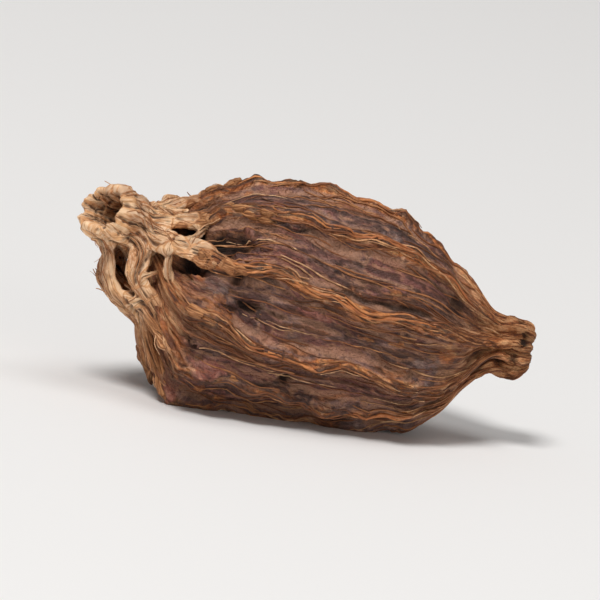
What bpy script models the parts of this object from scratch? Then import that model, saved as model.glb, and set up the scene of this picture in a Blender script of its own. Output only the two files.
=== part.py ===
"""A whole dried black cardamom pod, lying on its side.

The pod is one solid that grew in one piece. Its husk is egg-shaped, with eleven
ropy ridges that run from end to end and a fainter rib in each valley. The narrow
end is pinched into a fluted, pitted knob. The broad end carries the hollow stub
of the flower tube, tied to the ridges by woody strands that arch over a sunken
collar, with knots where they take root. Metres, +Z up: the narrow end points
along +X, and z = 0 is the surface that the pod lies on.
"""

import math

import bmesh
import bpy
import numpy as np
from mathutils import Matrix, Vector

# Husk
RIDGE_HEIGHT = 0.00080      # of a main ridge over the skin
RIDGE_HALF_WIDTH = 0.00085  # of a main ridge at its foot
RIB_HEIGHT = 0.00034        # of the faint rib in a valley
RIB_HALF_WIDTH = 0.00095
HUSK_ROWS = 54
HUSK_COLUMNS = (0.0, 0.16, 0.31, 0.50, 0.69, 0.84)  # shares of the way from ridge to ridge

# Where the ridges run, in degrees round the husk from -Y, through +Z at 90
RIDGE_ANGLES = (-76, -46, -20, 16, 52, 97, 130, 161, 190, 222, 256)
RIDGES = len(RIDGE_ANGLES)

# How far they bend up on their way to the flower tube: distance from the tip, degrees
RIDGE_RISE = (
    (0.0020, 0.0),
    (0.0050, -3.0),
    (0.0080, -4.0),
    (0.0120, -3.0),
    (0.0165, -1.0),
    (0.0186, 2.0),
    (0.0205, 7.0),
    (0.0224, 14.0),
    (0.0237, 20.0),
    (0.0250, 23.0),
)

# Middle line of the pod: distance from the tip, then how far it stands up and to -Y
MIDDLE_LINE = (
    (0.0000, 0.0000, 0.0000),
    (0.0036, -0.0001, 0.0000),
    (0.0056, -0.0006, 0.0000),
    (0.0078, -0.0005, 0.0000),
    (0.0120, -0.0001, 0.0000),
    (0.0160, 0.0000, 0.0000),
    (0.0202, -0.0003, 0.0000),
    (0.0227, -0.0009, 0.0000),
    (0.0245, -0.0011, 0.0000),
    (0.0258, -0.0004, 0.0000),
    (0.0267, 0.0008, 0.0001),
    (0.0276, 0.0021, 0.0004),
    (0.0285, 0.0028, 0.0008),
    (0.0302, 0.0034, 0.0017),
    (0.0322, 0.0040, 0.0028),
)

# Flower tube at the broad end
TUBE_START, TUBE_LIP = 0.0262, 0.0311
TUBE_RADIUS = 0.00150       # outside, between its flutes
BORE_RADIUS = 0.00100
BORE_DEPTH = 0.0026
FLUTE_HEIGHT = 0.00030
TUBE_ROWS = 16
TUBE_LIFT = math.radians(16)
TUBE_TURN = math.radians(30)
LONG_SIDE = math.radians(235)  # where the torn lip reaches furthest

# Woody strands from the flower tube to the ridges. Each row: the ridge, the angle on the tube,
# where it leaves the tube and how far off it then stands, where it lands on the ridge, how far
# it bows out, and its thickness.
STRANDS = (
    (0, -92, 0.0294, 0.0008, 0.0263, 0.0010, 1.15),
    (1, -30, 0.0284, 0.0007, 0.0263, 0.0007, 1.0),
    (3, 8, 0.0282, 0.0004, 0.0240, 0.0004, 1.2),
    (4, 45, 0.0280, 0.0003, 0.0250, 0.0002, 1.2),
    (5, 80, 0.0280, 0.0001, 0.0252, -0.0001, 1.2),
    (6, 125, 0.0280, 0.0001, 0.0250, 0.0000, 1.1),
    (7, 160, 0.0282, 0.0004, 0.0250, 0.0006, 1.0),
    (8, 192, 0.0284, 0.0005, 0.0256, 0.0010, 1.1),
    (9, 224, 0.0286, 0.0007, 0.0260, 0.0010, 1.0),
    (10, 256, 0.0290, 0.0008, 0.0262, 0.0012, 1.1),
)
BRIDGES = ((0, 0.44, 1, 0.44), (3, 0.50, 4, 0.56), (7, 0.50, 8, 0.46))  # strand and share of it
STRAND_RADIUS = 0.00042
STRAND_POINTS = 8
KNOT_RADIUS = 0.00052

# How the pod lies
NARROW_END_DROP = math.radians(3.4)
TIP_PLACE = Vector((0.0160, -0.0001, 0.00675))

HUSK_BROWN = (0.147, 0.070, 0.043, 1.0)
SHARP_ANGLE = math.radians(50)
SEED = 7


def husk_outline():
    """Distance from the tip, skin radius and ridge height share, from pit floor to collar."""
    return np.array(
        (
            (0.0011, 0.0, 0.0),
            (0.0009, 0.00045, 0.0),
            (0.0002, 0.00065, 0.05),
            (0.0000, 0.00105, 0.35),
            (0.0005, 0.00150, 0.60),
            (0.0014, 0.00160, 0.65),
            (0.0024, 0.00145, 0.75),
            (0.0037, 0.00235, 0.80),
            (0.0054, 0.00420, 0.80),
            (0.0075, 0.00565, 0.95),
            (0.0095, 0.00640, 1.0),
            (0.0120, 0.00685, 1.0),
            (0.0160, 0.00715, 1.0),
            (0.0202, 0.00715, 1.0),
            (0.0227, 0.00665, 1.1),
            (0.0245, 0.00560, 1.2),
            (0.0256, 0.00430, 1.2),
            (0.0264, 0.00300, 1.0),
            (0.0270, 0.00180, 0.5),
            (0.0274, 0.0, 0.0),
        )
    )


def tube_outline():
    """The same for the flower tube, from its root in the husk over its lip to the bore's floor."""
    floor = TUBE_LIP - BORE_DEPTH
    return np.array(
        (
            (TUBE_START, 0.0, 0.0),
            (TUBE_START + 0.0002, 1.2 * TUBE_RADIUS, 0.4),
            (TUBE_START + 0.0012, 1.15 * TUBE_RADIUS, 1.0),
            (TUBE_START + 0.0024, TUBE_RADIUS, 1.0),
            (TUBE_LIP - 0.0005, 1.08 * TUBE_RADIUS, 1.0),
            (TUBE_LIP, 0.5 * (TUBE_RADIUS + BORE_RADIUS), 0.7),
            (TUBE_LIP - 0.0005, BORE_RADIUS, 0.0),
            (floor + 0.0003, 0.8 * BORE_RADIUS, 0.0),
            (floor, 0.0, 0.0),
        )
    )


def smooth_curve(points, count):
    """A smooth curve through points, read at count evenly spaced places along it."""
    chords = np.linalg.norm(np.diff(points, axis=0), axis=1)
    knots = np.concatenate([[0.0], np.cumsum(chords)])
    slopes = np.gradient(points, knots, axis=0)
    at = np.linspace(0.0, knots[-1], count)
    piece = np.clip(np.searchsorted(knots, at, side="right") - 1, 0, len(knots) - 2)
    span = (knots[piece + 1] - knots[piece])[:, None]
    t = (at - knots[piece])[:, None] / span
    start, end = points[piece], points[piece + 1]
    return (
        (2 * t**3 - 3 * t**2 + 1) * start
        + (t**3 - 2 * t**2 + t) * span * slopes[piece]
        + (3 * t**2 - 2 * t**3) * end
        + (t**3 - t**2) * span * slopes[piece + 1]
    )


def outline_rows(points, rows):
    """Rows of an outline: distance from the tip, radius and ridge height share."""
    weights = np.array((1.0, 1.0, 0.0001))
    made = smooth_curve(points * weights, rows + 1) / weights
    made[:, 1:] = np.maximum(made[:, 1:], 0.0)
    made[[0, -1], 1] = 0.0
    return made


def smooth_step(value):
    """0 below 0, 1 above 1, and an S-curve between."""
    value = np.clip(value, 0.0, 1.0)
    return value * value * (3 - 2 * value)


def section_frame(station):
    """Centre, side and up vectors of the pod's cross-section at a distance from the tip."""
    line = smooth_curve(np.array(MIDDLE_LINE), 400)
    up = np.interp(station, line[:, 0], line[:, 1])
    near = np.interp(station, line[:, 0], line[:, 2])
    centre = np.stack([-station, -near, up], axis=-1)
    share = smooth_step((station - TUBE_START) / (0.7 * (TUBE_LIP - TUBE_START)))
    lift, turn = TUBE_LIFT * share, TUBE_TURN * share
    flat = np.zeros_like(station)
    side = np.stack([np.sin(turn), -np.cos(turn), flat], axis=-1)
    rise = np.stack(
        [np.sin(lift) * np.cos(turn), np.sin(lift) * np.sin(turn), np.cos(lift)], axis=-1
    )
    return centre, side, rise


def waves(station, lengths, weights, phases):
    """A sum of sine waves along the pod: one row of phases for each ridge."""
    turns = station[..., None] / np.array(lengths) + phases
    return (np.sin(2 * math.pi * turns) * np.array(weights)).sum(axis=-1)


def ridge_phases():
    """Seeded phases that make each ridge wander, swell and lean its own way."""
    draw = np.random.RandomState(SEED)
    return {name: draw.uniform(size=(RIDGES, 2)) for name in ("wander", "swell", "lean", "rib")}


def ridge_angle(index, station, radius, phases):
    """Angle round the pod at which a ridge stands: its own, its rise, and a wander in metres."""
    wander = waves(station, (0.0105, 0.0047), (0.00027, 0.00010), phases["wander"][index])
    own = np.radians(np.array(RIDGE_ANGLES))[index]
    rise = np.radians(np.interp(station, *np.array(RIDGE_RISE).T))
    return own + rise * np.cos(own) + wander / np.maximum(radius, 0.003)


def skin(column, station, radius, height, phases):
    """Points on the husk. A whole-number column lies on a ridge, and a half on a rib."""
    index = np.floor(column).astype(int) % RIDGES
    after = (index + 1) % RIDGES
    share = column - np.floor(column)
    first = ridge_angle(index, station, radius, phases)
    gap = (ridge_angle(after, station, radius, phases) - first) % (2 * math.pi)
    angle = first + share * gap
    nearest = np.where(share < 0.5, index, after)
    width = gap * radius + 1e-9
    foot = np.minimum(RIDGE_HALF_WIDTH, 0.36 * width)
    ridge = smooth_step(1 - np.minimum(share, 1 - share) * width / foot)
    swell = 1 + waves(station, (0.0056, 0.0027), (0.14, 0.14), phases["swell"][nearest])
    ridge = ridge * RIDGE_HEIGHT * height * swell
    rib = np.clip(1 - np.abs(share - 0.5) * width / RIB_HALF_WIDTH, 0, 1)
    presence = 0.5 + waves(station, (0.019, 0.0043), (0.6, 0.25), phases["rib"][index])
    rib = rib * RIB_HEIGHT * np.clip(presence, 0, 1) * smooth_step((radius - 0.002) / 0.003)
    lean = waves(station, (0.0095, 0.0040), (0.35, 0.2), phases["lean"][nearest])
    angle = angle + lean * ridge / np.maximum(radius, 0.002)
    three_sided = 1 + 0.018 * np.cos(3 * (angle - math.radians(40)))
    return around(angle, radius * three_sided + ridge + rib, station)


def around(angle, out, station):
    """Points at an angle and a distance out from the middle line."""
    centre, side, rise = section_frame(station)
    return centre + out[..., None] * (
        np.cos(angle)[..., None] * side + np.sin(angle)[..., None] * rise
    )


def clear_scene():
    for item in list(bpy.data.objects):
        bpy.data.objects.remove(item, do_unlink=True)


def new_collection(name, shown):
    made = bpy.data.collections.new(name)
    made.hide_render = not shown
    bpy.context.scene.collection.children.link(made)
    return made


def new_object(name, mesh, home):
    made = bpy.data.objects.new(name, mesh)
    home.objects.link(made)
    if home.hide_render:
        made.hide_render = True
        made.display_type = "WIRE"
    return made


def husk_material():
    made = bpy.data.materials.new("dried_husk")
    made.use_nodes = True
    shader = made.node_tree.nodes["Principled BSDF"]
    shader.inputs["Base Color"].default_value = HUSK_BROWN
    shader.inputs["Roughness"].default_value = 0.62
    shader.inputs["Metallic"].default_value = 0.0
    return made


def sphere_over(name, home, columns, rows, place):
    """A sphere whose vertices are moved by place(row, column) onto the form wanted."""
    shape = bmesh.new()
    bmesh.ops.create_uvsphere(shape, u_segments=columns, v_segments=rows, radius=1.0)
    at = np.array([vertex.co for vertex in shape.verts])
    row = np.rint(np.arccos(np.clip(at[:, 2], -1, 1)) / math.pi * rows).astype(int)
    turned = np.arctan2(at[:, 0], at[:, 1]) / (2 * math.pi) * columns
    for vertex, where in zip(shape.verts, place(row, np.rint(turned).astype(int) % columns)):
        vertex.co = where
    bmesh.ops.recalc_face_normals(shape, faces=shape.faces)
    mesh = bpy.data.meshes.new(name)
    shape.to_mesh(mesh)
    shape.free()
    return new_object(name, mesh, home)


def make_husk(home, phases):
    outline = outline_rows(husk_outline(), HUSK_ROWS)
    shares = np.array(HUSK_COLUMNS)

    def place(row, step):
        column = step // len(shares) + shares[step % len(shares)]
        return skin(column, *outline[row].T, phases)

    return sphere_over("pod", home, RIDGES * len(shares), HUSK_ROWS, place)


def make_tube(home):
    """The stub of the flower tube: a flute in line with each ridge, and a ragged lip."""
    outline = outline_rows(tube_outline(), TUBE_ROWS)
    angles = np.radians(np.array(RIDGE_ANGLES + (RIDGE_ANGLES[0] + 360,)))

    def place(row, step):
        station, radius, height = outline[row].T
        fluted = step % 2 == 0
        angle = np.where(
            fluted, angles[step // 2], 0.5 * (angles[step // 2] + angles[step // 2 + 1])
        )
        flute = np.where(fluted, FLUTE_HEIGHT * (1 + 0.4 * np.sin(5 * angle)), 0.0) * height
        lip = 0.0005 * np.cos(angle - LONG_SIDE) + 0.00015 * np.sin(3 * angle)
        lip = lip * smooth_step((station - TUBE_LIP + 0.0016) / 0.0016)
        return around(angle, radius + flute, station + lip)

    return sphere_over("flower_tube", home, 2 * RIDGES, TUBE_ROWS, place)


def make_strand(name, home, line, radius, knotty):
    """A woody strand: a closed round bar along a line, swelling as knotty says."""
    curve = bpy.data.curves.new(name, "CURVE")
    curve.dimensions = "3D"
    curve.bevel_depth = radius
    curve.bevel_resolution = 1
    curve.use_fill_caps = True
    spline = curve.splines.new("POLY")
    spline.points.add(len(line) - 1)
    for step, (point, where) in enumerate(zip(spline.points, line)):
        point.co = (*where, 1.0)
        taper = 1 - 0.4 * max(0.0, step / (len(line) - 1) - 0.7) / 0.3
        point.radius = (1 + 0.22 * math.sin(2.1 * step + knotty)) * taper
    drawn = new_object(name, curve, home)
    mesh = bpy.data.meshes.new_from_object(drawn)
    bpy.data.objects.remove(drawn, do_unlink=True)
    shape = bmesh.new()
    shape.from_mesh(mesh)
    bmesh.ops.remove_doubles(shape, verts=shape.verts, dist=0.00001)
    bmesh.ops.recalc_face_normals(shape, faces=shape.faces)
    shape.to_mesh(mesh)
    shape.free()
    return new_object(name, mesh, home)


def at_ridge(ridge, station, lift, phases):
    """A point on a ridge's crest, lifted clear of it or sunk into it."""
    outline = outline_rows(husk_outline(), 400)[40:]
    radius, height = (np.interp(station, outline[:, 0], outline[:, k]) for k in (1, 2))
    angle = ridge_angle(ridge, np.array(station), radius, phases)
    return around(angle, np.array(radius + RIDGE_HEIGHT * height + lift), np.array(station))


def at_tube(degrees, station, lift):
    """A point on the flower tube's outside, lifted clear of it or sunk into it."""
    return around(np.radians(degrees), np.array(TUBE_RADIUS + lift), np.array(station))


def strand_line(ridge, degrees, leaves, off, lands, bow, phases):
    """From deep in a ridge, out over the collar in an arch, and up the flower tube to its lip."""
    root = at_ridge(ridge, lands - 0.0022, -0.0009, phases)
    landing = at_ridge(ridge, lands, -0.0001, phases)
    foot = at_tube(degrees, leaves, off)
    neck = at_tube(degrees, leaves + 0.0008, 0.0001)
    end = at_tube(degrees, TUBE_LIP - 0.0006, -0.0001)
    arch = 0.5 * (landing + foot) + np.array((-bow, 0.0, 0.0))
    return smooth_curve(np.array((root, landing, arch, foot, neck, end)), STRAND_POINTS)


def along(line, share):
    """The point at a share of the way along a line."""
    at = np.linspace(0, 1, len(line))
    return np.array([np.interp(share, at, line[:, k]) for k in range(3)])


def add_strands(home, phases):
    """The strands, short bridges between some, and one from the third to the ridge below it."""
    lines = [strand_line(*row[:-1], phases) for row in STRANDS]
    for number, (line, row) in enumerate(zip(lines, STRANDS)):
        make_strand(f"strand_{number}", home, line, STRAND_RADIUS * row[-1], 1.7 * number)
    ends = [(along(lines[a], b), along(lines[c], d)) for a, b, c, d in BRIDGES]
    ends.append((along(lines[2], 0.56), at_ridge(2, 0.0256, -0.0004, phases)))
    for number, (start, end) in enumerate(ends):
        line = start + (end - start) * np.linspace(0, 1, 4)[:, None]
        make_strand(f"bridge_{number}", home, line, 0.8 * STRAND_RADIUS, number)
    return lines


def add_knots(home, lines, phases):
    """Woody knots: where strands take root or meet, and on the flower tube's lip."""
    draw = np.random.RandomState(SEED + 1)
    knots = []
    for ridge, *_, lands, _, _ in STRANDS:
        station = lands - draw.uniform(0.0002, 0.0024)
        knots.append((at_ridge(ridge, station, -0.0004, phases), 1.1))
    knots.append((0.5 * (along(lines[0], 0.46) + along(lines[1], 0.46)), 1.5))
    knots.append((at_ridge(2, 0.0240, -0.0004, phases), 1.1))
    knots.append((at_tube(100, TUBE_LIP - 0.0009, 0.0002), 1.0))
    for degrees in (20, -60, 200, 280):
        knots.append((at_tube(degrees, TUBE_LIP - 0.0003, 0.0), 0.6))
    for number, (where, share) in enumerate(knots):
        shape = bmesh.new()
        size = KNOT_RADIUS * share * draw.uniform(0.8, 1.2)
        turned = Matrix.Rotation(draw.uniform(0, 3), 4, Vector(draw.normal(size=3)))
        stretch = Matrix.Diagonal((1.4, 1.0, 0.85, 1.0))
        moved = Matrix.Translation(Vector(where)) @ stretch @ turned
        bmesh.ops.create_icosphere(shape, subdivisions=1, radius=size, matrix=moved)
        mesh = bpy.data.meshes.new(f"knot_{number}")
        shape.to_mesh(mesh)
        shape.free()
        new_object(f"knot_{number}", mesh, home)


def apply_boolean(target, operation, other=None, collection=None):
    step = target.modifiers.new(operation.lower(), "BOOLEAN")
    step.operation = operation
    step.solver = "EXACT"
    if collection:
        step.operand_type = "COLLECTION"
        step.collection = collection
    else:
        step.object = other
    bpy.context.view_layer.update()
    graph = bpy.context.evaluated_depsgraph_get()
    mesh = bpy.data.meshes.new_from_object(target.evaluated_get(graph))
    target.modifiers.remove(step)
    target.data = mesh


def lie_down(pod, cutters):
    """Turn the pod onto its lowest ridges and flatten them where they bear on z = 0."""
    pod.data.transform(Matrix.Translation(TIP_PLACE) @ Matrix.Rotation(NARROW_END_DROP, 4, "Y"))
    shape = bmesh.new()
    below = Matrix.Translation((0, 0, -0.002)) @ Matrix.Diagonal((0.05, 0.03, 0.004, 1.0))
    bmesh.ops.create_cube(shape, size=1.0, matrix=below)
    mesh = bpy.data.meshes.new("surface_below")
    shape.to_mesh(mesh)
    shape.free()
    surface_below = new_object("surface_below", mesh, cutters)
    apply_boolean(pod, "DIFFERENCE", other=surface_below)


def main():
    clear_scene()
    pod_collection = new_collection("black_cardamom_pod", shown=True)
    growths = new_collection("growths", shown=False)
    cutters = new_collection("cutters", shown=False)
    phases = ridge_phases()
    pod = make_husk(pod_collection, phases)
    make_tube(growths)
    strands = add_strands(growths, phases)
    add_knots(growths, strands, phases)
    apply_boolean(pod, "UNION", collection=growths)
    for grown in list(growths.objects):
        bpy.data.objects.remove(grown, do_unlink=True)
    lie_down(pod, cutters)
    pod.data.materials.clear()
    pod.data.materials.append(husk_material())
    pod.data.shade_smooth()
    pod.data.set_sharp_from_angle(angle=SHARP_ANGLE)


main()
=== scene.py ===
import math

import bmesh
import bpy
import numpy as np
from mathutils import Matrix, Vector
from mathutils.kdtree import KDTree


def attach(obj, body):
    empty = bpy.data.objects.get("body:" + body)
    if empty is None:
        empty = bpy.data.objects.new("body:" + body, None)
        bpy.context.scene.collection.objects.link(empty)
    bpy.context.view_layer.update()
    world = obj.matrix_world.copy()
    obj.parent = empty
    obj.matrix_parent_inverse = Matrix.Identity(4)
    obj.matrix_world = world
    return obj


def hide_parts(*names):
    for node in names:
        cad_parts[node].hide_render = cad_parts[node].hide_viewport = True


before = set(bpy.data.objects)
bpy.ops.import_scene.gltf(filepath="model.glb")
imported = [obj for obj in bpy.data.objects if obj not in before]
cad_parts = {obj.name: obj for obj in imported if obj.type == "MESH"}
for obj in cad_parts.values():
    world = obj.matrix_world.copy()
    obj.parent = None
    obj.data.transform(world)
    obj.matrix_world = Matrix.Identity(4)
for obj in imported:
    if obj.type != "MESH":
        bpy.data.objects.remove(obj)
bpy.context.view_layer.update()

# The husk. The dried wall of one seed capsule, tough and fibrous. It grew in one piece and
# shrank as it dried, so the skin has sunk between eleven ropy ridges and wrinkled lengthwise,
# and its narrow end is pinched into a fluted, pitted knob.
RIDGE_HEIGHT = 0.00080
RIDGE_HALF_WIDTH = 0.00085
RIB_HEIGHT = 0.00034
RIB_HALF_WIDTH = 0.00095
RIDGE_ANGLES = (-76, -46, -20, 16, 52, 97, 130, 161, 190, 222, 256)
RIDGES = len(RIDGE_ANGLES)
# Distance from the tip, and how many degrees the ridges at the sides have risen there.
RIDGE_RISE = (
    (0.0020, 0.0), (0.0050, -3.0), (0.0080, -4.0), (0.0120, -3.0), (0.0165, -1.0),
    (0.0186, 2.0), (0.0205, 7.0), (0.0224, 14.0), (0.0237, 20.0), (0.0250, 23.0),
)
# The middle line: distance from the tip, height, and how far it comes to the front.
MIDDLE_LINE = (
    (0.0, 0.0, 0.0),
    (0.0036, -0.0001, 0.0),
    (0.0056, -0.0006, 0.0),
    (0.0078, -0.0005, 0.0),
    (0.0120, -0.0001, 0.0),
    (0.0160, 0.0, 0.0),
    (0.0202, -0.0003, 0.0),
    (0.0227, -0.0009, 0.0),
    (0.0245, -0.0011, 0.0),
    (0.0258, -0.0004, 0.0),
    (0.0267, 0.0008, 0.0001),
    (0.0276, 0.0021, 0.0004),
    (0.0285, 0.0028, 0.0008),
    (0.0302, 0.0034, 0.0017),
    (0.0322, 0.0040, 0.0028),
)
TUBE_START, TUBE_LIP = 0.0262, 0.0311
TUBE_LIFT, TUBE_TURN = math.radians(16), math.radians(30)
NARROW_END_DROP = math.radians(3.4)
TIP_PLACE = np.array((0.0160, -0.0001, 0.00675))
PER_RIDGE, HUSK_ROWS = 40, 214  # columns of the husk's mesh from ridge to ridge, and its rows
HUSK_COLUMNS = PER_RIDGE * RIDGES
CROWDING = 0.055  # how much closer the columns stand on the ridges
NOISE_LENGTH = 211  # units along before a noise repeats
# Distance from the tip, radius, and the share of their full height that the ridges have.
HUSK_OUTLINE = np.array((
    (0.0011, 0.0, 0.0),
    (0.0009, 0.00045, 0.0),
    (0.0002, 0.00065, 0.05),
    (0.0, 0.00105, 0.35),
    (0.0005, 0.00150, 0.60),
    (0.0014, 0.00160, 0.65),
    (0.0024, 0.00145, 0.75),
    (0.0037, 0.00235, 0.80),
    (0.0054, 0.00420, 0.80),
    (0.0075, 0.00565, 0.95),
    (0.0095, 0.00640, 1.0),
    (0.0120, 0.00685, 1.0),
    (0.0160, 0.00715, 1.0),
    (0.0202, 0.00715, 1.0),
    (0.0227, 0.00665, 1.1),
    (0.0245, 0.00560, 1.2),
    (0.0256, 0.00430, 1.2),
    (0.0264, 0.00300, 1.0),
    (0.0270, 0.00180, 0.5),
    (0.0274, 0.0, 0.0),
))
draw = np.random.RandomState(7)
PHASES = {name: draw.uniform(size=(RIDGES, 2)) for name in ("wander", "swell", "lean", "rib")}


def smooth_curve(points, count):
    """A smooth curve through points, read at count evenly spaced places along it."""
    chords = np.linalg.norm(np.diff(points, axis=0), axis=1)
    knots = np.concatenate([[0.0], np.cumsum(chords)])
    slopes = np.gradient(points, knots, axis=0)
    at = np.linspace(0.0, knots[-1], count)
    piece = np.clip(np.searchsorted(knots, at, side="right") - 1, 0, len(knots) - 2)
    span = (knots[piece + 1] - knots[piece])[:, None]
    t = (at - knots[piece])[:, None] / span
    start, end = points[piece], points[piece + 1]
    return (
        (2 * t**3 - 3 * t**2 + 1) * start
        + (t**3 - 2 * t**2 + t) * span * slopes[piece]
        + (3 * t**2 - 2 * t**3) * end
        + (t**3 - t**2) * span * slopes[piece + 1]
    )


def outline_rows(points, rows):
    """Rows of an outline: distance from the tip, radius and ridge height share."""
    weights = np.array((1.0, 1.0, 0.0001))
    made = smooth_curve(points * weights, rows + 1) / weights
    made[:, 1:] = np.maximum(made[:, 1:], 0.0)
    made[[0, -1], 1] = 0.0
    return made


def smooth_step(value):
    """0 below 0, 1 above 1, and an S-curve between."""
    value = np.clip(value, 0.0, 1.0)
    return value * value * (3 - 2 * value)


def around(angle, out, station):
    """Points at an angle and a distance out from the pod's middle line."""
    line = smooth_curve(np.array(MIDDLE_LINE), 400)
    up = np.interp(station, line[:, 0], line[:, 1])
    near = np.interp(station, line[:, 0], line[:, 2])
    share = smooth_step((station - TUBE_START) / (0.7 * (TUBE_LIP - TUBE_START)))
    lift, turn = TUBE_LIFT * share, TUBE_TURN * share
    side = np.stack([np.sin(turn), -np.cos(turn), np.zeros_like(station)], axis=-1)
    rise = np.stack(
        [np.sin(lift) * np.cos(turn), np.sin(lift) * np.sin(turn), np.cos(lift)], axis=-1
    )
    spoke = np.cos(angle)[..., None] * side + np.sin(angle)[..., None] * rise
    return np.stack([-station, -near, up], axis=-1) + out[..., None] * spoke


def waves(station, lengths, weights, phases):
    """A sum of sine waves along the pod: one row of phases for each ridge."""
    turns = station[..., None] / np.array(lengths) + phases
    return (np.sin(2 * math.pi * turns) * np.array(weights)).sum(axis=-1)


def ridge_angle(index, station, radius):
    """Angle round the pod at which a ridge stands: its own, its rise, and a wander in metres."""
    wander = waves(station, (0.0105, 0.0047), (0.00027, 0.00010), PHASES["wander"][index])
    own = np.radians(np.array(RIDGE_ANGLES))[index]
    rise = np.radians(np.interp(station, *np.array(RIDGE_RISE).T))
    return own + rise * np.cos(own) + wander / np.maximum(radius, 0.003)


def noise(across, along, wrap, seed):
    """Smooth noise from -1 to 1, one value a unit, that joins up after wrap units across."""
    values = np.random.RandomState(seed).uniform(-1, 1, (wrap, NOISE_LENGTH))
    low_a, low_b = np.floor(across).astype(int), np.floor(along).astype(int)
    a, b = smooth_step(across - low_a), smooth_step(along - low_b)

    def line(j):
        """The noise on one line across."""
        row = (low_b + j) % NOISE_LENGTH
        return values[low_a % wrap, row] * (1 - a) + values[(low_a + 1) % wrap, row] * a

    return line(0) * (1 - b) + line(1) * b


def folds(across, along, wrap, seed):
    """Rounded swellings, 1 at most, that meet in sharp creases at 0."""
    return np.minimum(1.6 * np.abs(noise(across, along, wrap, seed)), 1) ** 0.8


def lay(points):
    """Points from the pod's own frame to where it lies, none of them below the surface."""
    c, s = math.cos(NARROW_END_DROP), math.sin(NARROW_END_DROP)
    turned = points @ np.array(((c, 0, -s), (0, 1, 0), (s, 0, c))) + TIP_PLACE
    turned[..., 2] = np.maximum(turned[..., 2], 0.0)
    return turned


def unit(vectors):
    """Vectors, each drawn out or shrunk to a length of 1."""
    return vectors / np.maximum(np.linalg.norm(vectors, axis=-1, keepdims=True), 1e-12)


def sheet_normals(points):
    """Outward normals of a sheet of rows that closes round on itself."""
    around_step = np.roll(points, -1, axis=1) - np.roll(points, 1, axis=1)
    return unit(np.cross(around_step, np.gradient(points, axis=0)))


def closed_mesh(name, points):
    """A mesh over rows of points that close round, with a single point at either end."""
    rows, columns = points.shape[:2]
    inner = points[1:-1].reshape(-1, 3)
    places = np.concatenate([points[:1, 0], inner, points[-1:, 0]])
    first = 1 + np.arange(columns)
    second = 1 + (np.arange(columns) + 1) % columns
    steps = np.arange(rows - 3)[:, None] * columns
    quads = np.stack(
        [first + steps, first + steps + columns, second + steps + columns, second + steps], axis=-1
    ).reshape(-1, 4)
    last = len(places) - 1
    end = (rows - 3) * columns
    caps = [(0, a, b) for a, b in zip(first, second)]
    caps += [(last, b + end, a + end) for a, b in zip(first, second)]
    mesh = bpy.data.meshes.new(name)
    mesh.from_pydata(places.tolist(), [], quads.tolist() + [tuple(map(int, c)) for c in caps])
    mesh.shade_smooth()
    return mesh


def placed(name, data):
    """A new object in the scene."""
    made = bpy.data.objects.new(name, data)
    bpy.context.scene.collection.objects.link(made)
    return made


def store(mesh, name, values):
    """Keeps one number or vector a vertex for the material to read."""
    kind = "FLOAT_VECTOR" if np.ndim(values) == 2 else "FLOAT"
    layer = mesh.attributes.new(name, kind, "POINT")
    layer.data.foreach_set("vector" if kind != "FLOAT" else "value", np.ravel(values))


def eased(mesh, places, rounds):
    """Vertex places, moved to the middle of their neighbours' a number of times."""
    edges = np.empty(2 * len(mesh.edges), dtype=int)
    mesh.edges.foreach_get("vertices", edges)
    a, b = edges.reshape(-1, 2).T
    ends, others = np.concatenate([a, b]), np.concatenate([b, a])
    share = np.bincount(ends, minlength=len(places))[:, None]
    for _ in range(rounds):
        places = np.stack([
            np.bincount(ends, weights=part[others], minlength=len(part)) for part in places.T
        ], axis=1) / share
    return places


def vertex_rows(mesh, name):
    """The vertices' places ("co") or normals ("normal"), one row each."""
    values = np.empty(3 * len(mesh.vertices))
    mesh.vertices.foreach_get(name, values)
    return values.reshape(-1, 3)


def move_vertices(mesh, places):
    """Puts each vertex at its new place."""
    mesh.vertices.foreach_set("co", places.ravel())
    mesh.update()


def relief(mesh, rounds):
    """How far each vertex stands above (+) or below (-) its surroundings, in mm."""
    places = vertex_rows(mesh, "co")
    above = (places - eased(mesh, places, rounds)) * vertex_rows(mesh, "normal")
    return above.sum(axis=1) * 1000


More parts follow.
